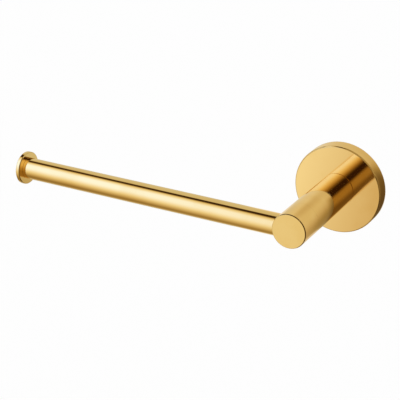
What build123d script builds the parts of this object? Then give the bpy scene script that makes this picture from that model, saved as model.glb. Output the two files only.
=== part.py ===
from build123d import *
import os
from math import radians, tan

# Wall-mounted paper roll holder: a round flange, a post standing out from the wall, and an arm with an end cap.
# The wall is the plane Y = 0, the post points along -Y, the arm along -X, and Z is up.

# Visible form, in millimetres
flange_diameter = 50.0
flange_depth = 8.0  # from the wall to the flange's front face
flange_chamfer = 0.5
post_diameter = 19.0
post_length = 61.0  # from the flange's front face to the post's front face
post_chamfer = 0.4
post_foot_chamfer = 0.3  # the fine joint line where the post stands on the flange
arm_diameter = 12.0
arm_lip = 1.2  # metal left between the arm and the post's front face
arm_drop = 1.0  # arm axis below the post axis
arm_reach = 166.0  # from the post axis to the end cap's inner face
cap_diameter = 18.5
cap_thickness = 2.5
cap_chamfer = 0.35

# Walls
flange_face_wall = 2.5
flange_rim_wall = 4.0
flange_mouth_chamfer = 0.4
post_wall = 1.5
arm_wall = 1.0

# Fits, as radial clearances
pressed_gap = 0.05  # plugs and spigots seated for good
thread_gap = 0.05  # threads of screws that stay put
running_gap = 0.08  # thread of the screw that is turned to release the holder
bracket_gap = 0.4  # bracket inside the flange
seat_gap = 0.1  # set screw's point to the bracket's rim

# Wall bracket
bracket_height = 4.5
bracket_floor = 2.0
bracket_ring_width = 3.7
bracket_taper = 30.0  # degrees, narrowing towards the wall
bracket_hole_gap = 1.2  # round the post screw's washer
slot_width = 4.5
slot_length = 7.0

# Set screw, headless with a cone point
set_screw_diameter = 4.0
set_screw_point = 1.2  # diameter of the flat on its point
set_screw_recess = 0.3  # below the flange's rim
set_screw_key = 2.0  # across flats
set_screw_key_depth = 2.0

# Post base and its screw
base_length = 12.0
spigot_diameter = 9.0
spigot_flats = 7.6
spigot_recess = 0.3  # short of the flange's inner face, so that the washer clamps the flange
post_screw_diameter = 6.0
post_screw_length = 13.0
post_screw_head_diameter = 10.5
post_screw_head_height = 3.3
post_screw_head_round = 1.6
post_screw_key = 4.0  # across flats
post_screw_key_depth = 2.0
washer_diameter = 11.8
washer_thickness = 1.6
washer_slit = 1.0

# Post nose
nose_shoulder = 2.8  # full-width metal behind the arm
nose_spigot_length = 8.0
socket_floor = 4.5  # from the post axis to the seat of the arm's end

# Arm's inner joint and end cap
stud_diameter = 6.0
stud_in_arm = 12.0  # past the arm's end
stud_past_axis = 3.5  # beyond the post axis
stud_end_gap = 0.5
arm_root_plug_length = 14.0
cap_spigot_length = 10.0
lead_chamfer = 0.5  # on the ends that are pressed in

# Places that follow from the sizes above
flange_radius = flange_diameter / 2
cup_radius = flange_radius - flange_rim_wall
cup_depth = flange_depth - flange_face_wall
post_radius = post_diameter / 2
post_bore_radius = post_radius - post_wall
post_end = flange_depth + post_length
arm_radius = arm_diameter / 2
arm_bore_radius = arm_radius - arm_wall
arm_setback = arm_lip + arm_radius
arm_height = post_end - arm_setback
nose_length = arm_setback + arm_radius + nose_shoulder
nose_start = post_end - nose_length
spigot_radius = spigot_diameter / 2
post_screw_radius = post_screw_diameter / 2
washer_seat = cup_depth - washer_thickness
stud_radius = stud_diameter / 2
bracket_front_radius = cup_radius - bracket_gap
bracket_back_radius = bracket_front_radius - bracket_height * tan(radians(bracket_taper))
bracket_ring_radius = bracket_front_radius - bracket_ring_width
bracket_hole_radius = washer_diameter / 2 + bracket_hole_gap
slot_spacing = bracket_hole_radius + bracket_ring_radius
set_screw_radius = set_screw_diameter / 2
set_screw_height = cup_depth / 2
point_radius = set_screw_point / 2
point_contact_height = set_screw_height + point_radius
point_seat = bracket_back_radius + point_contact_height * tan(radians(bracket_taper)) + seat_gap
set_screw_length = flange_radius - set_screw_recess - point_seat

wall_plane = Plane.XZ
arm_plane = Plane(origin=(0, -arm_height, -arm_drop), x_dir=(0, -1, 0), z_dir=(-1, 0, 0))
set_screw_plane = Plane(origin=(0, -set_screw_height, 0), x_dir=(1, 0, 0), z_dir=(0, 0, -1))

# Bracket: a dished disc, its rim wider at the front, with two slots for the wall screws
with BuildPart() as wall_bracket:
    with BuildSketch(Plane.XY):
        with BuildLine():
            Polyline(
                (bracket_hole_radius, 0),
                (bracket_back_radius, 0),
                (bracket_front_radius, -bracket_height),
                (bracket_ring_radius, -bracket_height),
                (bracket_ring_radius, -bracket_floor),
                (bracket_hole_radius, -bracket_floor),
                close=True,
            )
        make_face()
    revolve(axis=Axis.Y)
    with BuildSketch(wall_plane):
        with GridLocations(slot_spacing, slot_spacing, 2, 1):
            SlotOverall(slot_length, slot_width)
    extrude(amount=bracket_floor, mode=Mode.SUBTRACT)

# Flange: a turned cup over the bracket, keyed for the post and tapped below for the set screw
with BuildPart() as flange:
    with BuildSketch(wall_plane):
        Circle(flange_radius)
    extrude(amount=flange_depth)
    chamfer(flange.faces().sort_by(Axis.Y)[0].edges(), length=flange_chamfer)
    with BuildSketch(wall_plane):
        Circle(cup_radius)
    extrude(amount=cup_depth, mode=Mode.SUBTRACT)
    chamfer(flange.faces().sort_by(Axis.Y)[-1].inner_wires().edges(), length=flange_mouth_chamfer)
    with BuildSketch(wall_plane.offset(cup_depth)):
        Circle(spigot_radius + pressed_gap)
        Rectangle(spigot_flats + 2 * pressed_gap, spigot_diameter + 2 * pressed_gap, mode=Mode.INTERSECT)
    extrude(amount=flange_face_wall, mode=Mode.SUBTRACT)
    with BuildSketch(set_screw_plane):
        Circle(set_screw_radius + running_gap)
    extrude(amount=flange_radius, mode=Mode.SUBTRACT)

# Set screw: its cone point bears on the bracket's tapered rim and draws the flange to the wall
with BuildPart() as set_screw:
    with BuildSketch(set_screw_plane.offset(point_seat)):
        Circle(set_screw_radius)
    extrude(amount=set_screw_length)
    chamfer(set_screw.faces().sort_by(Axis.Z)[-1].edges(), length=set_screw_radius - point_radius)
    with BuildSketch(set_screw_plane.offset(point_seat + set_screw_length)):
        RegularPolygon(set_screw_key / 2, side_count=6, major_radius=False)
    extrude(amount=-set_screw_key_depth, mode=Mode.SUBTRACT)

# Post base: a plug in the tube's back end with a two-flat spigot through the flange
with BuildPart() as post_base:
    with BuildSketch(wall_plane.offset(flange_depth)):
        Circle(post_bore_radius - pressed_gap)
    extrude(amount=base_length)
    chamfer(post_base.faces().sort_by(Axis.Y)[0].edges(), length=lead_chamfer)
    with BuildSketch(wall_plane.offset(flange_depth)):
        Circle(spigot_radius)
        Rectangle(spigot_flats, spigot_diameter, mode=Mode.INTERSECT)
    extrude(amount=spigot_recess - flange_face_wall)
    with BuildSketch(wall_plane):
        Circle(post_screw_radius + thread_gap)
    extrude(amount=flange_depth + base_length, mode=Mode.SUBTRACT)

# Lock washer: one split ring between the screw's head and the flange
with BuildPart() as lock_washer:
    with BuildSketch(wall_plane.offset(washer_seat)):
        Circle(washer_diameter / 2)
        Circle(post_screw_radius + thread_gap, mode=Mode.SUBTRACT)
        Rectangle(washer_slit, washer_diameter, align=(Align.CENTER, Align.MIN), mode=Mode.SUBTRACT)
    extrude(amount=washer_thickness)

# Post screw: a round head with a hexagon socket, driven from the wall side
with BuildPart() as post_screw:
    with BuildSketch(wall_plane.offset(washer_seat)):
        Circle(post_screw_radius)
    extrude(amount=post_screw_length)
    chamfer(post_screw.faces().sort_by(Axis.Y)[0].edges(), length=lead_chamfer)
    with BuildSketch(wall_plane.offset(washer_seat)):
        Circle(post_screw_head_diameter / 2)
    extrude(amount=-post_screw_head_height)
    fillet(post_screw.faces().sort_by(Axis.Y)[-1].edges(), radius=post_screw_head_round)
    with BuildSketch(wall_plane.offset(washer_seat - post_screw_head_height)):
        RegularPolygon(post_screw_key / 2, side_count=6, major_radius=False)
    extrude(amount=post_screw_key_depth, mode=Mode.SUBTRACT)

# Post tube: from the flange's front face to the nose
with BuildPart() as post_tube:
    with BuildSketch(wall_plane.offset(flange_depth)):
        Circle(post_radius)
        Circle(post_bore_radius, mode=Mode.SUBTRACT)
    extrude(amount=nose_start - flange_depth)
    chamfer(post_tube.faces().sort_by(Axis.Y)[-1].outer_wire().edges(), length=post_foot_chamfer)

# Post nose: the solid front end, with the flat face, the arm's socket and the stud's hole
with BuildPart() as post_nose:
    with BuildSketch(wall_plane.offset(nose_start)):
        Circle(post_radius)
    extrude(amount=nose_length)
    chamfer(post_nose.faces().sort_by(Axis.Y)[0].edges(), length=post_chamfer)
    with BuildSketch(wall_plane.offset(nose_start)):
        Circle(post_bore_radius - pressed_gap)
    extrude(amount=-nose_spigot_length)
    chamfer(post_nose.faces().sort_by(Axis.Y)[-1].edges(), length=lead_chamfer)
    with BuildSketch(arm_plane.offset(socket_floor)):
        Circle(arm_radius + pressed_gap)
    extrude(amount=post_radius, mode=Mode.SUBTRACT)
    with BuildSketch(arm_plane.offset(socket_floor)):
        Circle(stud_radius + thread_gap)
    extrude(amount=-(socket_floor + stud_past_axis + stud_end_gap), mode=Mode.SUBTRACT)

# Arm tube: seated in the nose's socket, open at both ends
with BuildPart() as arm_tube:
    with BuildSketch(arm_plane.offset(socket_floor)):
        Circle(arm_radius)
        Circle(arm_bore_radius, mode=Mode.SUBTRACT)
    extrude(amount=arm_reach - socket_floor)

# Arm root plug: tapped right through for the stud
with BuildPart() as arm_root_plug:
    with BuildSketch(arm_plane.offset(socket_floor)):
        Circle(arm_bore_radius - pressed_gap)
    extrude(amount=arm_root_plug_length)
    chamfer(arm_root_plug.faces().sort_by(Axis.X)[0].edges(), length=lead_chamfer)
    with BuildSketch(arm_plane.offset(socket_floor)):
        Circle(stud_radius + thread_gap)
    extrude(amount=arm_root_plug_length, mode=Mode.SUBTRACT)

# Arm stud: headless, half in the nose and half in the arm
with BuildPart() as arm_stud:
    with BuildSketch(arm_plane.offset(-stud_past_axis)):
        Circle(stud_radius)
    extrude(amount=stud_past_axis + socket_floor + stud_in_arm)
    chamfer(arm_stud.edges().filter_by(GeomType.CIRCLE), length=lead_chamfer)

# End cap: a disc wider than the arm, with a spigot pressed into the tube
with BuildPart() as end_cap:
    with BuildSketch(arm_plane.offset(arm_reach)):
        Circle(cap_diameter / 2)
    extrude(amount=cap_thickness)
    chamfer(end_cap.edges().filter_by(GeomType.CIRCLE), length=cap_chamfer)
    with BuildSketch(arm_plane.offset(arm_reach)):
        Circle(arm_bore_radius - pressed_gap)
    extrude(amount=-cap_spigot_length)
    chamfer(end_cap.faces().sort_by(Axis.X)[-1].edges(), length=lead_chamfer)

pieces = {
    "wall_bracket": wall_bracket,
    "flange": flange,
    "set_screw": set_screw,
    "post_base": post_base,
    "lock_washer": lock_washer,
    "post_screw": post_screw,
    "post_tube": post_tube,
    "post_nose": post_nose,
    "arm_tube": arm_tube,
    "arm_root_plug": arm_root_plug,
    "arm_stud": arm_stud,
    "end_cap": end_cap,
}
os.makedirs("parts", exist_ok=True)
for name, piece in pieces.items():
    piece.part.label = name
    export_step(piece.part, f"parts/{name}.step")
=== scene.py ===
import bmesh
import bpy
from math import cos, pi, radians, sin
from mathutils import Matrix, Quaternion, Vector


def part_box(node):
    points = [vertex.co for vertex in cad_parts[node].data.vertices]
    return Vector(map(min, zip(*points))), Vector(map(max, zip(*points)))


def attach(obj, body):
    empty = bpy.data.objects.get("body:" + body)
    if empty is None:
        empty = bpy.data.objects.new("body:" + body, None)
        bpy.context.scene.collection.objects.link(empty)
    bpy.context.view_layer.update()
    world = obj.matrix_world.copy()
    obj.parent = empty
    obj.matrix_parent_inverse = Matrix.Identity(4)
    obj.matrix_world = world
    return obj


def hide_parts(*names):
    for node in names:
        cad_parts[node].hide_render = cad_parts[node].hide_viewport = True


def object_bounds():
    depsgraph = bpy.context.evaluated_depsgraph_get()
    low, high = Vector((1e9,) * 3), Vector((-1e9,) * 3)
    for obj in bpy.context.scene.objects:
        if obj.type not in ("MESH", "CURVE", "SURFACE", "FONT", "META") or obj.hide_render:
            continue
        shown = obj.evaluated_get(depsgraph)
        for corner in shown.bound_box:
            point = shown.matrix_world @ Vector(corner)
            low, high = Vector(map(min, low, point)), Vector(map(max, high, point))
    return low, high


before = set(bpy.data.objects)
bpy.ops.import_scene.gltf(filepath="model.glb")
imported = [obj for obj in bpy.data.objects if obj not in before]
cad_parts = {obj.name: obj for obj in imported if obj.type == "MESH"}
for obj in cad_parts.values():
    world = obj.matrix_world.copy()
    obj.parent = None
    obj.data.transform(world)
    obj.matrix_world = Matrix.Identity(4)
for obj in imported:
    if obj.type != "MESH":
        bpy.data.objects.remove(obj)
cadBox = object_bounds()
print("frame loaded:", len(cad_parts), "CAD nodes")

wholeTurn = 2 * pi


class Wire:                     # a shader socket that takes part in plain maths
    def __init__(self, tree, socket=None):
        self.tree = tree
        self.socket = socket

    def fill(self, target, values):  # each socket of a node takes a value or a link
        for name, value in values.items():
            if isinstance(value, Wire):
                self.tree.links.new(value.socket, target.inputs[name])
            else:
                target.inputs[name].default_value = value

    def dress(self, values, target="Principled BSDF"):  # the node that the tree came with
        self.fill(self.tree.nodes[target], values)

    def node(self, kind, settings=None, values=None, output=0):
        made = self.tree.nodes.new(kind)
        for name, setting in (settings or {}).items():
            if name == "stops":
                stops = made.color_ramp.elements
                while len(stops) < len(setting):
                    stops.new(1)
                for stop, (place, colour) in zip(stops, setting):
                    stop.position = place
                    stop.color = colour
            else:
                setattr(made, name, setting)
        self.fill(made, values or {})
        return Wire(self.tree, made.outputs[output])

    def maths(self, operation, *values):
        return self.node("ShaderNodeMath", {"operation": operation}, dict(enumerate(values)))

    def __add__(self, other):
        return self.maths("ADD", self, other)

    def __sub__(self, other):
        return self.maths("SUBTRACT", self, other)

    def __rsub__(self, other):
        return self.maths("SUBTRACT", other, self)

    def __mul__(self, other):
        return self.maths("MULTIPLY", self, other)

    def __pow__(self, other):
        return self.maths("POWER", self, other)

    __radd__ = __add__
    __rmul__ = __mul__

    def ramp(self, low, high, first=0, last=1, kind="LINEAR"):  # first at low, last at high
        return self.node("ShaderNodeMapRange", {"interpolation_type": kind},
                         {"Value": self, "From Min": low, "From Max": high, "To Min": first, "To Max": last})

    def smooth(self, low, high):  # 0 at low, 1 at high
        return self.ramp(low, high, kind="SMOOTHSTEP")

    def over(self, below, above):  # the value below where this is 0, the one above where it is 1
        return self * (above - below) + below

    def between(self, first, second):  # the first colour where this is 0, the second where it is 1
        return self.node("ShaderNodeMix", {"data_type": "RGBA"}, {0: self, 6: first, 7: second}, 2)

    def scaled(self, colour, amount):
        return self.node("ShaderNodeVectorMath", {"operation": "SCALE"}, {0: colour, "Scale": amount})

    def part(self, letter):
        return self.node("ShaderNodeSeparateXYZ", {}, {0: self}, letter)

    def noise(self, scale, detail, grit, dimensions="3D"):
        return self.node("ShaderNodeTexNoise", {"noise_dimensions": dimensions},
                         {"Vector": self, "Scale": scale, "Detail": detail, "Roughness": grit})


def opaque(colour):
    return (*colour, 1)


def acrossBoth(first, second):  # the straight distance, from two at right angles
    return (first ** 2 + second ** 2) ** 0.5


def newMaterial(name):
    material = bpy.data.materials.new(name)
    material.use_nodes = True
    return material, Wire(material.node_tree)


def deselectAll():
    bpy.ops.object.select_all(action="DESELECT")


def pickOnly(piece):
    deselectAll()
    piece.select_set(True)
    bpy.context.view_layer.objects.active = piece


def settled(name):              # the object just added, with its place put into its mesh
    bpy.ops.object.transform_apply(location=True, rotation=True, scale=True)
    made = bpy.context.object
    made.name = name
    made.data.name = name
    return made


def editAll():
    bpy.ops.object.mode_set(mode="EDIT")
    bpy.ops.mesh.select_all(action="SELECT")


def leaveEdit():                # with the faces pointing outwards
    bpy.ops.mesh.select_all(action="SELECT")
    bpy.ops.mesh.normals_make_consistent(inside=False)
    bpy.ops.object.mode_set(mode="OBJECT")


def choosePoints(piece, wanted):
    bpy.ops.mesh.select_mode(type="VERT")
    mesh = bmesh.from_edit_mesh(piece.data)
    mesh.verts.index_update()
    for point in mesh.verts:
        point.select = wanted(point)
    mesh.select_flush_mode()
    bmesh.update_edit_mesh(piece.data)


# The room: how bright each direction looks in polished metal. Each card has its level and soft edges: a
# coordinate, where the card starts along it and where it is full. Later cards lie over earlier ones.
room = {
    "dark": 0.012,              # where there is no card
    "cards": {
        "behind": (0.60, [("Y", 0.40, 0.62)]),
        "highRight": (0.38, [("X", -0.33, -0.05), ("Y", -0.12, -0.22), ("Y", -0.55, -0.40),
                             ("Z", 0.20, 0.40)]),
        "farRight": (0.17, [("X", 0.62, 0.80), ("Y", 0, -0.15), ("Z", 0.34, 0.14)]),
        "lowRight": (0.12, [("Z", 0.34, 0.02), ("Y", 0.20, -0.30), ("X", 0.76, 0.60)]),
        "right": (0.31, [("Z", 0.36, 0.12), ("X", 0.30, 0.45), ("X", 0.74, 0.60), ("Y", 0.20, -0.40),
                         ("Z", -0.42, -0.02)]),
        "rightStrip": (0.34, [("X", 0.51, 0.56), ("X", 0.64, 0.58), ("Z", -0.95, -0.45),
                              ("Y", 0.14, -0.16)]),
        "lowLeft": (0.23, [("X", 0.03, -0.28), ("Z", 0.10, -0.30), ("Y", 0.30, 0.10)]),
        "below": (0.34, [("Z", -0.55, -0.85), ("Y", -0.25, 0.15), ("X", 0.20, -0.20)]),
    },
    "softbox": 1.43,            # the large light, in front and to the left
    "softboxEdges": [("lift", radians(-85), radians(28)), ("lift", radians(94), radians(76)),
                     ("X", 0.24, -0.595), ("slant", 0.45, -0.10)],
    "slant": -0.35,             # of Z to X, for the softbox's lower right corner
    "softboxTop": 0.55,         # its share of light near its top edge
    "topFrom": radians(90),
    "topTo": radians(45),
    "leansFrom": -0.62,         # its edges lean, between these X
    "leansTo": -0.36,
    "lean": radians(11),
    "tint": [                   # dim light is warm, strong light is cool
        (0, (0.02, 0.006, 0.004)),
        (0.14, (0.21, 0.14, 0.055)),
        (0.33, (0.44, 0.33, 0.15)),
        (0.50, (0.62, 0.50, 0.305)),
        (0.70, (0.78, 0.70, 0.51)),
        (0.90, (0.93, 0.90, 0.78)),
        (1.10, (1.04, 1.10, 1.28)),
        (1.43, (1.14, 1.46, 2.50)),
    ],
    "tintEnd": 1.45,
    "paper": (1, 1, 1),         # seen by the camera, and lights the floor
    "floorColour": (0.99, 0.99, 0.99),
    "floorDrop": 0.45,          # below the holder
    "floorSize": 8,
}


def tinted(level):
    end = room["tintEnd"]
    bright = max(max(colour) for place, colour in room["tint"])  # a ramp holds no colour over 1
    stops = [(place / end, opaque([value / bright for value in colour])) for place, colour in room["tint"]]
    tint = level.node("ShaderNodeValToRGB", {"stops": stops}, {"Fac": level * (1 / end)})
    return level.scaled(tint, bright)


def buildRoom():
    world = bpy.data.worlds.new("studioRoom")
    bpy.context.scene.world = world
    world.use_nodes = True
    world.cycles.sampling_method = "NONE"
    start = Wire(world.node_tree)
    direction = start.node("ShaderNodeTexCoord", output="Generated")
    ways = {letter: direction.part(letter) for letter in "XYZ"}
    leaning = ways["X"].ramp(room["leansFrom"], room["leansTo"], -room["lean"], room["lean"])
    ways["lift"] = start.maths("ARCTAN2", ways["Z"], 0 - ways["Y"]) + leaning
    ways["slant"] = ways["X"] + ways["Z"] * room["slant"]

    def within(edges):
        mask = 1
        for way, low, high in edges:
            mask = ways[way].smooth(low, high) * mask
        return mask

    level = room["dark"]
    for brightness, edges in room["cards"].values():
        level = within(edges).over(level, brightness)
    fading = ways["lift"].smooth(room["topFrom"], room["topTo"])
    glow = fading.over(room["softboxTop"], 1) * room["softbox"]
    level = within(room["softboxEdges"]).over(level, glow)
    inMetal = start.node("ShaderNodeLightPath", output="Is Glossy Ray")
    shown = inMetal.between(opaque(room["paper"]), tinted(level))
    start.dress({"Strength": 1, "Color": shown}, "Background")


def buildFloor():
    deselectAll()
    low = cadBox[0]
    bpy.ops.mesh.primitive_plane_add(size=room["floorSize"], location=(0, 0, low[2] - room["floorDrop"]))
    floor = settled("floor")
    floor.visible_glossy = False
    material, start = newMaterial("paleFloor")
    start.dress({"Base Color": opaque(room["floorColour"]), "Roughness": 1, "Specular IOR Level": 0})
    floor.data.materials.append(material)


# Three glowing boards seen only in polished metal, with light and shade painted on them: the pale wall that
# the holder hangs on, with the holder's painted shadows, a small card in front of its flange and a ring by
# its cap
wall = {
    "size": 1.6,
    "behind": 0.0005,           # the flange's back
    "level": 0.70,
    "farColour": (1.02, 0.99, 0.81),  # for each part of light, away from the gold flange
    "farFrom": -0.020,          # x
    "farTo": -0.065,
    "coolFrom": 0.30,           # level
    "coolTo": 0.80,
    "left": 0.06,               # painted light: brighter just left of the flange
    "shadow": 0.62,             # painted shadow: share of light lost to the right and below
    "shadowAt": (0.017, -0.017),  # x and z
    "shadowFull": 0.012,        # distances from there
    "shadowEnd": 0.050,
    "middle": (0, 0),           # of the flange
    "contact": 0.72,            # painted contact shadow: share lost beside the flange's rim
    "contactFull": 0.027,       # distances from the middle
    "contactEnd": 0.036,
    "contactSide": (0.94, -0.34),  # towards the lower right
    "contactFrom": 0.0095,
    "contactTo": 0.0216,
    "corner": 0.90,             # painted shade: share lost low on the right
    "cornerSide": (0.6, -0.8),
    "cornerFrom": 0.058,
    "cornerTo": 0.082,
    "cornerLeft": -0.05,        # x
    "cornerRight": -0.01,
    "dip": 0.17,                # painted shade: share lost just above the flange
    "dipAt": (0.004, 0.046),
    "dipEnd": 0.028,
    "armShade": 0.36,           # painted shadow of the arm: share lost in a band under the arm, away from the flange
    "armShadeAt": -0.055,       # z
    "armShadeHalf": 0.030,      # from its middle to its edge
    "dark": 0.03,               # level high up
    "topSlope": -0.80,          # light falls off up the wall, along a slant
    "topFrom": 0.274,
    "topTo": 0.374,
    "low": 0.33,                # level low down
    "lowFrom": -0.10,           # z
    "lowTo": -0.32,
    "openRadius": 0.0252,       # the flange covers this much of it
    "openEdge": 1.01,           # where it is whole again, in those radii
}

# a glowing card that paints a reflection into the flange: pale on the card's left, darker gold on its right
card = {
    "centre": (-0.0164, -0.048, -0.0185),
    "radius": 0.029,
    "clearRadius": 0.0262,      # it fades from here out
    "left": (1.01, 0.99, 0.92),
    "right": (0.75, 0.63, 0.46),
    "slope": 0.22,              # of the line between the two
    "span": 0.024,
}

ring = {                        # a glowing ring round the arm by the cap, seen only where the arm shows in the cap: it paints the dark streak and the light in that reflection
    "centre": (-0.150, -0.0618, -0.001),
    "radius": 0.036,
    "clearRadius": 0.030,
    "levels": [                 # by the angle from the wall, in degrees
        (0, 0.28),
        (26, 0.27),
        (38, 0.03),
        (72, 0.02),
        (86, 0.62),
        (100, 0.90),
        (140, 0.86),
        (170, 0.47),
        (200, 0.27),
        (262, 0.27),
        (284, 0.52),
    ],
    "opening": radians(-30),    # angles start here, where the ring is open
    "startAngles": (radians(-6), 0),  # it fades in and out between these
    "endAngles": (radians(300), radians(288)),
    "reflections": 1.5,         # it takes more than this many to see it
}

boardTurns = {"XZ": (pi / 2, 0, 0), "YZ": (0, -pi / 2, 0)}  # lay a board along two axes


def distanceFrom(spot, across, up):
    return acrossBoth(across - spot[0], up - spot[-1])


def towards(side, across, up):
    return across * side[0] + up * side[1]


def glowingBoard(name, size, place, letters, colour, alpha):
    deselectAll()
    bpy.ops.mesh.primitive_plane_add(size=size, location=place, rotation=boardTurns[letters])
    board = settled(name)
    board.visible_camera = False
    board.visible_diffuse = False
    board.visible_shadow = False
    material, start = newMaterial(name)
    material.cycles.emission_sampling = "NONE"
    spot = start.node("ShaderNodeTexCoord", output="Object")
    across, up = [spot.part(letter) for letter in letters]
    start.dress({"Base Color": opaque((0, 0, 0)), "Roughness": 1, "Specular IOR Level": 0,
                 "Emission Strength": 1, "Emission Color": colour(across, up), "Alpha": alpha(across, up)})
    board.data.materials.append(material)


# the wall's glow: painted light, with painted shadows of the holder beside and below the flange
def wallPaintedLight(across, up):
    far = across.smooth(wall["farFrom"], wall["farTo"])
    level = across.smooth(0, wall["farFrom"]) * (1 - far) * wall["left"] + wall["level"]
    level = up.smooth(wall["lowFrom"], wall["lowTo"]).over(level, wall["low"])
    nearRim = distanceFrom(wall["middle"], across, up).smooth(wall["contactEnd"], wall["contactFull"])
    contact = towards(wall["contactSide"], across, up).smooth(wall["contactFrom"], wall["contactTo"])
    corner = towards(wall["cornerSide"], across, up).smooth(wall["cornerFrom"], wall["cornerTo"])
    band, half = wall["armShadeAt"], wall["armShadeHalf"]
    shades = {
        "shadow": distanceFrom(wall["shadowAt"], across, up).smooth(wall["shadowEnd"], wall["shadowFull"]),
        "contact": nearRim * contact,
        "dip": distanceFrom(wall["dipAt"], across, up).smooth(wall["dipEnd"], 0),
        "armShade": up.smooth(band + half, band) * up.smooth(band - half, band) * far,
        "corner": across.smooth(wall["cornerLeft"], wall["cornerRight"]) * corner,
    }
    for name, shade in shades.items():
        level = level * (1 - shade * wall[name])
    level = (up + across * wall["topSlope"]).smooth(wall["topFrom"], wall["topTo"]).over(level, wall["dark"])
    cool = level.scaled(wall["farColour"], level)
    return (far * level.smooth(wall["coolFrom"], wall["coolTo"])).between(tinted(level), cool)


def wallAlpha(across, up):
    openRadius = wall["openRadius"]
    return distanceFrom(wall["middle"], across, up).smooth(openRadius, openRadius * wall["openEdge"])


def cardPaintedReflection(across, up):
    slide = (across - card["centre"][0]) - (up - card["centre"][2]) * card["slope"]
    return slide.ramp(-card["span"], card["span"]).between(opaque(card["left"]), opaque(card["right"]))


def cardAlpha(across, up):
    return distanceFrom(card["centre"], across, up).smooth(card["radius"], card["clearRadius"])


def ringAngle(across, up):
    angle = up.maths("ARCTAN2", up - ring["centre"][2], across - ring["centre"][1])
    return up.maths("WRAP", angle, ring["opening"] + wholeTurn, ring["opening"])


def ringPaintedReflection(across, up):
    stops = [(radians(angle) / wholeTurn, opaque([level] * 3)) for angle, level in ring["levels"]]
    turn = ringAngle(across, up) * (1 / wholeTurn)
    return tinted(up.node("ShaderNodeValToRGB", {"stops": stops}, {"Fac": turn}))


def ringAlpha(across, up):
    angle = ringAngle(across, up)
    near = distanceFrom(ring["centre"][1:], across, up).smooth(ring["radius"], ring["clearRadius"])
    count = up.node("ShaderNodeLightPath", output="Glossy Depth")
    deep = up.maths("GREATER_THAN", count, ring["reflections"])
    return angle.smooth(*ring["startAngles"]) * angle.smooth(*ring["endAngles"]) * near * deep


def buildBoards():
    glowingBoard("wallBoard", wall["size"], (0, wall["behind"], 0), "XZ", wallPaintedLight, wallAlpha)
    glowingBoard("flangeCard", card["radius"] * 2, card["centre"], "XZ", cardPaintedReflection, cardAlpha)
    glowingBoard("capRing", ring["radius"] * 2, ring["centre"], "YZ", ringPaintedReflection, ringAlpha)


view = {
    "place": (0.239368, -0.590547, 0.270027),
    "tilt": radians(66.186),
    "turn": radians(29.101),
    "lens": 113.04,             # mm
    "sensor": 36,
}


def placeCamera():
    lens = bpy.data.cameras.new("photoCamera")
    lens.lens = view["lens"]
    lens.sensor_width = view["sensor"]
    camera = bpy.data.objects.new("photoCamera", lens)
    camera.location = view["place"]
    camera.rotation_euler = (view["tilt"], 0, view["turn"])
    bpy.context.scene.collection.objects.link(camera)
    bpy.context.scene.camera = camera


bpy.context.scene.view_settings.view_transform = "Standard"
buildRoom()
buildFloor()
buildBoards()
placeCamera()
print("studio ready:", len(room["cards"]), "cards in the room")

# Lines that the turned pieces are made round, from the frame's own boxes
flangeLow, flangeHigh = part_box("flange")
sleeveLow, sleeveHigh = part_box("post_tube")
noseLow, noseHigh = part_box("post_nose")
armLow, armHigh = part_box("arm_tube")
capLow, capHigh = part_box("end_cap")
grubLow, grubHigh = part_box("set_screw")
postLine = (Vector((0, 0, 0)), Vector((0, -1, 0)))
armLine = (Vector((0, (armLow.y + armHigh.y) / 2, (armLow.z + armHigh.z) / 2)), Vector((-1, 0, 0)))
grubLine = (Vector((0, (grubLow.y + grubHigh.y) / 2, 0)), Vector((0, 0, -1)))

turning = {
    "segments": 192,            # round a turned piece
    "arcSteps": 4,              # across a softened edge
    "support": 2.2,             # flat kept beside a softened edge, in edge widths
    "sharpAngle": radians(38),  # harder corners stay sharp
    "merge": 0.000002,          # points closer than this become one after a cut
    "roll": radians(0.55),      # keeps a cutter's corners off the corners of what it cuts
    "through": 2,               # how far a cutter reaches, in sizes of what it cuts
    "hexSides": 6,
}


def softenOutline(points, edge, closed=False):  # gives rings: radius, place along the line, and 1 on softened edges, which is edge wear on zinc and steel and a painted dark reflection line on gold
    rings = []
    steps = turning["arcSteps"]
    for index, (radius, along, *own) in enumerate(points):
        corner = Vector((radius, along))
        if not closed and index in (0, len(points) - 1):
            rings.append((corner.x, corner.y, 0))
            continue
        width = own[0] if own else edge  # a corner may have its own width
        back, ahead = [(Vector(points[(index + step) % len(points)][:2]) - corner).normalized() * width
                       for step in (-1, 1)]
        curve = [(corner + back * (1 - n / steps) ** 2 + ahead * (n / steps) ** 2, 1)
                 for n in range(steps + 1)]
        flat = turning["support"]
        for spot, onEdges in [(corner + back * flat, 0), *curve, (corner + ahead * flat, 0)]:
            rings.append((spot.x, spot.y, onEdges))
    return rings


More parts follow.
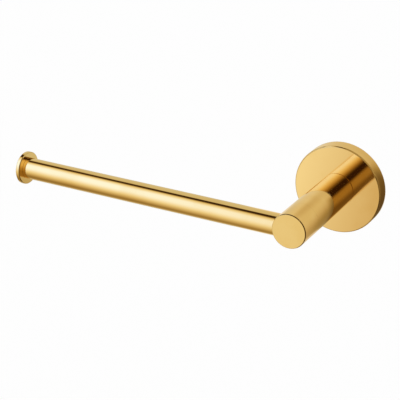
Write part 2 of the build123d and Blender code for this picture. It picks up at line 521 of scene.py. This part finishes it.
def turnPiece(name, rings, line, closed=False, segments=turning["segments"]):
    # As on a lathe: each ring is drawn out of the one before
    foot, axis = line
    firstRadius, firstAlong, _ = rings[0]
    last = len(rings) - 1
    deselectAll()
    bpy.ops.mesh.primitive_circle_add(vertices=segments, radius=firstRadius,
                                      location=foot + axis * firstAlong,
                                      rotation=axis.to_track_quat("Z", "Y").to_euler())
    piece = settled(name)
    editAll()
    for (oldRadius, oldAlong, _), (radius, along, _) in zip(rings, rings[1:]):
        size = radius / oldRadius
        bpy.ops.mesh.extrude_region_move(TRANSFORM_OT_translate={"value": axis * (along - oldAlong)})
        bpy.ops.transform.resize(value=(size, size, size), center_override=foot + axis * along)
    if closed:
        choosePoints(piece, lambda point: point.index // segments in (0, last))
        bpy.ops.mesh.bridge_edge_loops()
    else:
        for end in (last, 0):
            choosePoints(piece, lambda point: point.index // segments == end)
            bpy.ops.mesh.edge_face_add()
    leaveEdit()
    # 1 on softened edges: edge wear on zinc and steel, a painted dark reflection line on gold
    edgeLayer = piece.data.attributes.new("edgeWear", "FLOAT", "POINT")
    edgeLayer.data.foreach_set("value", [rings[n // segments][2] for n in range(len(piece.data.vertices))])
    return piece


def barOf(line, start, end, radius, sides):  # a round or six-sided bar to cut with
    foot, axis = line
    deselectAll()
    turn = axis.to_track_quat("Z", "Y") @ Quaternion((0, 0, 1), turning["roll"])
    bpy.ops.mesh.primitive_cylinder_add(vertices=sides, radius=radius, depth=end - start,
                                        location=foot + axis * (start + end) / 2, rotation=turn.to_euler())
    return settled("cutter")


def hexBar(line, face, screw):  # for a hex key's socket in a screw's face
    sides = turning["hexSides"]
    cornerRadius = screw["keyAcross"] / 2 / cos(pi / sides)
    return barOf(line, face - screw["keyDepth"], face + screw["keyDepth"], cornerRadius, sides)


def cutWith(piece, tool, operation="DIFFERENCE"):
    cut = piece.modifiers.new("cut", "BOOLEAN")
    cut.operation = operation
    cut.solver = "EXACT"
    cut.object = tool
    pickOnly(piece)
    bpy.ops.object.modifier_apply(modifier=cut.name)
    bpy.data.objects.remove(tool)
    editAll()
    bpy.ops.mesh.remove_doubles(threshold=turning["merge"])
    leaveEdit()


def finishPiece(piece, material, slotName, body, *nodes):
    pickOnly(piece)
    bpy.ops.object.shade_smooth_by_angle(angle=turning["sharpAngle"])
    piece.data.materials.clear()
    piece.data.materials.append(material)
    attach(piece, body)
    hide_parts(*nodes)
    print("made", piece.name, len(piece.data.polygons), "faces")


def readEdgeWearAndReflection(start):            # 1 on softened edges, 0 elsewhere
    return start.node("ShaderNodeAttribute", {"attribute_name": "edgeWear"}, output="Fac")


def dressMetal(start, tone, rough, height, depth):
    relief = start.node("ShaderNodeBump", {}, {"Strength": 1, "Distance": depth, "Height": height}, "Normal")
    start.dress({"Metallic": 1, "Base Color": tone, "Roughness": rough, "Normal": relief})


gold = {
    "colour": (0.90, 0.65, 0.27),
    "deepColour": (0.87, 0.61, 0.235),
    "edgeWearAndReflectionColour": (0.45, 0.30, 0.10),  # painted reflection: the thin dark line along each edge
    "smoothest": 0.038,         # roughness where the polish is best
    "smudge": 0.025,            # more where it has been handled
    "smudgeScale": 55,
    "lineScale": 5200,          # polishing lines, round each turned piece
    "lineRough": 0.02,
    "lineHeight": 0.0000004,
    "wornRough": 0.10,
}

brass = {
    "colour": (0.80, 0.58, 0.27),
    "deepColour": (0.60, 0.39, 0.15),
    "edgeWearAndReflectionColour": (0.90, 0.74, 0.42),
    "smoothest": 0.20,
    "smudge": 0.16,
    "smudgeScale": 260,
    "lineScale": 3600,          # left by the lathe tool
    "lineRough": 0.14,
    "lineHeight": 0.000003,
    "wornRough": 0.05,
}

turnedMarks = {                 # on both turned metals
    "lineDetail": 2,
    "lineGrit": 0.6,
    "smudgeDetail": 4,
    "smudgeGrit": 0.55,
    "smudgeFrom": 0.42,
    "smudgeTo": 0.68,
}


def turnedMetal(name, line, look):
    foot, axis = line
    marks = turnedMarks
    material, start = newMaterial(name)
    place = start.node("ShaderNodeTexCoord", output="Object")
    lengthways = max("XYZ", key=lambda letter: abs(getattr(axis, letter.lower())))
    across = [place.part(letter) - getattr(foot, letter.lower()) for letter in "XYZ" if letter != lengthways]
    lathe = start.node("ShaderNodeCombineXYZ", {}, {"X": acrossBoth(*across), "Y": place.part(lengthways)})
    lines = lathe.noise(look["lineScale"], marks["lineDetail"], marks["lineGrit"], "2D")
    smudge = place.noise(look["smudgeScale"], marks["smudgeDetail"], marks["smudgeGrit"])
    onEdges = readEdgeWearAndReflection(start)
    handled = smudge.smooth(marks["smudgeFrom"], marks["smudgeTo"])
    tone = handled.between(opaque(look["colour"]), opaque(look["deepColour"]))
    # on gold this paints a dark reflection line along the softened edges
    tone = (onEdges * smudge).between(tone, opaque(look["edgeWearAndReflectionColour"]))
    rough = look["smoothest"] + handled * look["smudge"]
    rough = rough + lines * look["lineRough"] + onEdges * look["wornRough"]
    dressMetal(start, tone, rough, lines, look["lineHeight"])
    return material


zinc = {
    "colour": (0.47, 0.48, 0.50),
    "darkColour": (0.35, 0.36, 0.38),
    "edgeWearAndReflectionColour": (0.66, 0.67, 0.68),
    "cloudScale": 190,          # the skin of the casting
    "grainScale": 2300,
    "smoothest": 0.34,
    "cloudRough": 0.14,
    "grainRough": 0.16,
    "grainHeight": 0.000010,
}

steel = {
    "colour": (0.60, 0.60, 0.59),
    "darkColour": (0.36, 0.36, 0.36),
    "edgeWearAndReflectionColour": (0.78, 0.78, 0.77),
    "cloudScale": 420,
    "grainScale": 6500,
    "smoothest": 0.20,
    "cloudRough": 0.14,
    "grainRough": 0.12,
    "grainHeight": 0.0000025,
}

grainyMarks = {                 # on both grainy metals
    "cloudDetail": 5,
    "cloudGrit": 0.6,
    "cloudFrom": 0.38,
    "cloudTo": 0.72,
    "grainDetail": 3,
    "grainGrit": 0.65,
    "wornFrom": 0.25,           # edges wear through the grain first
    "wornTo": 0.55,
}


def grainyMetal(name, look):
    marks = grainyMarks
    material, start = newMaterial(name)
    place = start.node("ShaderNodeTexCoord", output="Object")
    cloud = place.noise(look["cloudScale"], marks["cloudDetail"], marks["cloudGrit"])
    grain = place.noise(look["grainScale"], marks["grainDetail"], marks["grainGrit"])
    onEdges = readEdgeWearAndReflection(start) * grain.smooth(marks["wornFrom"], marks["wornTo"])
    clouded = cloud.smooth(marks["cloudFrom"], marks["cloudTo"])
    tone = clouded.between(opaque(look["colour"]), opaque(look["darkColour"]))
    tone = onEdges.between(tone, opaque(look["edgeWearAndReflectionColour"]))
    rough = look["smoothest"] + cloud * look["cloudRough"] + grain * look["grainRough"]
    dressMetal(start, tone, rough, grain, look["grainHeight"])
    return material


goldOnPost = turnedMetal("polishedGoldPost", postLine, gold)
goldOnArm = turnedMetal("polishedGoldArm", armLine, gold)
brassOnPost = turnedMetal("turnedBrassPost", postLine, brass)
brassOnArm = turnedMetal("turnedBrassArm", armLine, brass)
castZinc = grainyMetal("castZinc", zinc)
screwSteel = grainyMetal("screwSteel", steel)
shownSolids = {"post_base": brassOnPost, "arm_root_plug": brassOnArm, "lock_washer": screwSteel,
               "arm_stud": screwSteel}
for node, material in shownSolids.items():
    bpy.data.objects[node].material_slots[0].material = material
print("materials ready:", len(bpy.data.materials))

flange = {
    "faceWall": 0.0025,
    "rimWall": 0.004,
    "chamfer": 0.00046,
    "chamferBack": 0.0006,
    "mouthChamfer": 0.0004,
    "boredRadius": 0.003,       # before the keyed hole is cut
    "keyRadius": 0.00455,
    "keyFlats": 0.0077,
    "keySides": 96,
    "keyBlock": 4,              # the block for the flats is this much larger than the bar
    "tappedRadius": 0.00208,
    "tappedSides": 64,
    "tappedFrom": 0.5,          # share of the cup's radius where its cutter starts
    "edge": 0.00012,
    "segments": 576,
}


def keyedBar(start, end):       # a round bar with two flats
    bar = barOf(postLine, start, end, flange["keyRadius"], flange["keySides"])
    deselectAll()
    bpy.ops.mesh.primitive_cube_add(size=1, scale=(flange["keyFlats"], end * flange["keyBlock"],
                                                   flange["keyRadius"] * flange["keyBlock"]))
    cutWith(bar, settled("keyBlock"), "INTERSECT")
    return bar


def makeFlange():
    radius = (flangeHigh.x - flangeLow.x) / 2
    depth = -flangeLow.y
    cup = radius - flange["rimWall"]
    floorAt = depth - flange["faceWall"]
    outline = [
        (flange["boredRadius"], depth),
        (radius - flange["chamfer"], depth),
        (radius, depth - flange["chamferBack"]),
        (radius, 0),
        (cup + flange["mouthChamfer"], 0),
        (cup, flange["mouthChamfer"]),
        (cup, floorAt),
        (flange["boredRadius"], floorAt),
    ]
    rings = softenOutline(outline, flange["edge"], True)
    piece = turnPiece("flangeCup", rings, postLine, True, flange["segments"])
    cutWith(piece, keyedBar(0, depth * turning["through"]))
    cutWith(piece, barOf(grubLine, cup * flange["tappedFrom"], radius * turning["through"],
                         flange["tappedRadius"], flange["tappedSides"]))
    finishPiece(piece, goldOnPost, "gold_coating", "holder", "flange")


sleeve = {
    "wall": 0.0015,
    "footChamfer": 0.0003,
    "edge": 0.00008,
    "seamEdge": 0.00002,        # where the nose closes it
}


def makeSleeve():
    radius = (sleeveHigh.x - sleeveLow.x) / 2
    foot, seam = -sleeveHigh.y, -sleeveLow.y
    outline = [
        (radius - sleeve["footChamfer"], foot),
        (radius, foot + sleeve["footChamfer"]),
        (radius, seam, sleeve["seamEdge"]),
        (radius - sleeve["wall"], seam, sleeve["seamEdge"]),
        (radius - sleeve["wall"], foot),
    ]
    piece = turnPiece("postSleeve", softenOutline(outline, sleeve["edge"], True), postLine, True)
    finishPiece(piece, goldOnPost, "gold_coating", "holder", "post_tube")


nose = {
    "chamfer": 0.0003,
    "chamferBack": 0.0005,
    "spigotRadius": 0.00795,
    "leadChamfer": 0.0005,
    "socketRadius": 0.00605,
    "socketSides": 192,
    "socketFloor": 0.0045,
    "studRadius": 0.00305,
    "studSides": 64,
    "studEnd": -0.004,
    "studOverlap": 0.0003,      # of its cutter with the socket
    "edge": 0.00008,
    "faceCentre": 0.5,          # share of the face that is one flat cap
}


def makeNose():
    radius = (noseHigh.x - noseLow.x) / 2
    shoulder = -sleeveLow.y
    front = -noseLow.y
    back = -noseHigh.y
    outline = [
        (radius * nose["faceCentre"], front),
        (radius - nose["chamfer"], front),
        (radius, front - nose["chamferBack"]),
        (radius, shoulder, sleeve["seamEdge"]),
        (nose["spigotRadius"], shoulder),
        (nose["spigotRadius"], back + nose["leadChamfer"]),
        (nose["spigotRadius"] - nose["leadChamfer"], back),
        (radius * nose["faceCentre"], back),
    ]
    piece = turnPiece("postNose", softenOutline(outline, nose["edge"]), postLine)
    cutWith(piece, barOf(armLine, nose["socketFloor"], radius * turning["through"],
                         nose["socketRadius"], nose["socketSides"]))
    cutWith(piece, barOf(armLine, nose["studEnd"], nose["socketFloor"] + nose["studOverlap"],
                         nose["studRadius"], nose["studSides"]))
    finishPiece(piece, goldOnPost, "gold_coating", "holder", "post_nose")


arm = {
    "wall": 0.001,
    "edge": 0.00008,
}


def makeArm():
    radius = (armHigh.z - armLow.z) / 2
    root, end = -armHigh.x, -armLow.x
    outline = [
        (radius, root),
        (radius, end),
        (radius - arm["wall"], end),
        (radius - arm["wall"], root),
    ]
    piece = turnPiece("armTube", softenOutline(outline, arm["edge"], True), armLine, True)
    finishPiece(piece, goldOnArm, "gold_coating", "holder", "arm_tube")


cap = {
    "chamfer": 0.00035,
    "spigotRadius": 0.00495,
    "leadChamfer": 0.0005,
    "edge": 0.0001,
    "faceCentre": 0.4,          # share of the face that is one flat cap
}


def makeCap():
    radius = (capHigh.z - capLow.z) / 2
    outer = -capLow.x
    inner = -armLow.x
    end = -capHigh.x
    outline = [
        (radius * cap["faceCentre"], outer),
        (radius - cap["chamfer"], outer),
        (radius, outer - cap["chamfer"]),
        (radius, inner + cap["chamfer"]),
        (radius - cap["chamfer"], inner),
        (cap["spigotRadius"], inner),
        (cap["spigotRadius"], end + cap["leadChamfer"]),
        (cap["spigotRadius"] - cap["leadChamfer"], end),
        (radius * cap["faceCentre"], end),
    ]
    piece = turnPiece("endCap", softenOutline(outline, cap["edge"]), armLine)
    finishPiece(piece, goldOnArm, "gold_coating", "holder", "end_cap")


bracket = {
    "holeRadius": 0.0071,
    "backRadius": 0.018002,
    "dishRadius": 0.0169,
    "floor": 0.002,
    "slotAt": 0.012,            # from the middle
    "slotLength": 0.007,
    "slotWidth": 0.0045,
    "slotSides": 64,
    "slotReach": 1.6,           # of its cutter, in floor thicknesses
    "edge": 0.00018,
}


def slotBar(middle, start, end):
    bar = barOf((middle, postLine[1]), start, end, bracket["slotWidth"] / 2, bracket["slotSides"])
    stretch = (bracket["slotLength"] - bracket["slotWidth"]) / 2
    bpy.ops.object.mode_set(mode="EDIT")
    for side in (-1, 1):
        choosePoints(bar, lambda point: (point.co.x - middle.x) * side > 0)
        bpy.ops.transform.translate(value=(side * stretch, 0, 0))
    bpy.ops.object.mode_set(mode="OBJECT")
    return bar


def makeBracket():
    low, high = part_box("wall_bracket")
    radius = (high.x - low.x) / 2
    height = -low.y
    outline = [
        (bracket["holeRadius"], 0),
        (bracket["backRadius"], 0),
        (radius, height),
        (bracket["dishRadius"], height),
        (bracket["dishRadius"], bracket["floor"]),
        (bracket["holeRadius"], bracket["floor"]),
    ]
    piece = turnPiece("bracketDish", softenOutline(outline, bracket["edge"], True), postLine, True)
    for side in (-1, 1):
        middle = Vector((side * bracket["slotAt"], 0, 0))
        cutWith(piece, slotBar(middle, -bracket["floor"], bracket["floor"] * bracket["slotReach"]))
    finishPiece(piece, castZinc, "cast_zinc", "holder", "wall_bracket")


clamp = {
    "headRadius": 0.00525,
    "headHeight": 0.0033,
    "headRound": 0.0016,
    "roundSteps": 10,
    "shaftRadius": 0.003,
    "leadChamfer": 0.0005,
    "keyAcross": 0.004,
    "keyDepth": 0.002,
    "edge": 0.00008,
    "tipCentre": 0.5,           # share of the tip that is one flat cap
}


def makeClampScrew():
    low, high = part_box("post_screw")
    top, tip = -high.y, -low.y
    turns = [step * pi / 2 / clamp["roundSteps"] for step in range(clamp["roundSteps"] + 1)]
    middle, bend = clamp["headRadius"] - clamp["headRound"], clamp["headRound"]
    head = [(middle + bend * sin(turn), top + bend - bend * cos(turn), 0) for turn in turns]
    shaft = [
        head[-1][:2],
        (clamp["headRadius"], top + clamp["headHeight"]),
        (clamp["shaftRadius"], top + clamp["headHeight"]),
        (clamp["shaftRadius"], tip - clamp["leadChamfer"]),
        (clamp["shaftRadius"] - clamp["leadChamfer"], tip),
        (clamp["shaftRadius"] * clamp["tipCentre"], tip),
    ]
    piece = turnPiece("clampScrew", head[:-1] + softenOutline(shaft, clamp["edge"]), postLine)
    cutWith(piece, hexBar(postLine, top, clamp))
    finishPiece(piece, screwSteel, "screw_steel", "holder", "post_screw")


grub = {
    "pitch": 0.0007,
    "crestRadius": 0.00199,
    "rootRadius": 0.00161,
    "rootFlat": 0.00017,
    "flank": 0.00022,
    "turnSteps": 64,
    "spareTurns": 3,
    "weld": 0.0000014,          # joins each turn to the next
    "overrun": 1 / 3,           # thread past each end before it is trimmed, in turns
    "trimRoom": 0.00001,        # from the crests out to the trimming form
    "pointRadius": 0.0006,
    "leadChamfer": 0.00035,
    "keyAcross": 0.002,
    "keyDepth": 0.002,
    "edge": 0.00005,
    "faceCentre": 0.5,          # flat caps of the trimming form, in radii of the point
}


def threadRod(name, start, end):  # round the Z axis, from start up to end
    pitch, root, crest = grub["pitch"], grub["rootRadius"], grub["crestRadius"]
    flat, flank = grub["rootFlat"], grub["flank"]
    steps = [(0, 0, flat), (crest - root, 0, flank), (0, 0, pitch - flat - 2 * flank),
             (root - crest, 0, flank)]
    deselectAll()
    bpy.ops.mesh.primitive_circle_add(vertices=3, radius=root / 2, location=(root, 0, start - pitch))
    piece = settled(name)
    editAll()
    bpy.ops.mesh.merge(type="CENTER")  # one point, from which the thread's outline is drawn
    for step in steps:
        bpy.ops.mesh.extrude_vertices_move(TRANSFORM_OT_translate={"value": step})
    bpy.ops.object.mode_set(mode="OBJECT")
    wind = piece.modifiers.new("wind", "SCREW")
    wind.angle = wholeTurn
    wind.screw_offset = pitch
    wind.iterations = int((end - start) / pitch) + grub["spareTurns"]
    wind.steps = grub["turnSteps"]
    wind.render_steps = grub["turnSteps"]
    bpy.ops.object.modifier_apply(modifier=wind.name)
    editAll()
    bpy.ops.mesh.remove_doubles(threshold=grub["weld"])
    for height, side in ((start, -1), (end, 1)):
        bpy.ops.mesh.select_all(action="SELECT")
        bpy.ops.mesh.bisect(plane_co=(0, 0, height), plane_no=(0, 0, side), clear_outer=True,
                            threshold=turning["merge"])
        bpy.ops.mesh.edge_face_add()
    bpy.ops.mesh.select_all(action="SELECT")
    bpy.ops.transform.rotate(value=turning["roll"], orient_axis="Z", center_override=(0, 0, 0))
    bpy.ops.transform.translate(value=grubLine[0])
    leaveEdit()
    return piece


def makeGrub():
    tip, end = -grubHigh.z, -grubLow.z
    crest, point = grub["crestRadius"] + grub["trimRoom"], grub["pointRadius"]
    outline = [
        (point * grub["faceCentre"], tip),
        (point, tip),
        (crest, tip + crest - point),
        (crest, end - grub["leadChamfer"]),
        (crest - grub["leadChamfer"], end),
        (point * grub["faceCentre"], end),
    ]
    envelope = turnPiece("grubEnvelope", softenOutline(outline, grub["edge"]), grubLine)
    overrun = grub["pitch"] * grub["overrun"]
    piece = threadRod("grubScrew", -end - overrun, -tip + overrun)
    cutWith(piece, envelope, "INTERSECT")
    cutWith(piece, hexBar(grubLine, end, grub))
    editAll()
    bpy.ops.mesh.quads_convert_to_tris(quad_method="BEAUTY", ngon_method="BEAUTY")
    bpy.ops.object.mode_set(mode="OBJECT")
    finishPiece(piece, screwSteel, "screw_steel", "set_screw", "set_screw")


for make in (makeFlange, makeSleeve, makeNose, makeArm, makeCap, makeBracket, makeClampScrew, makeGrub):
    make()
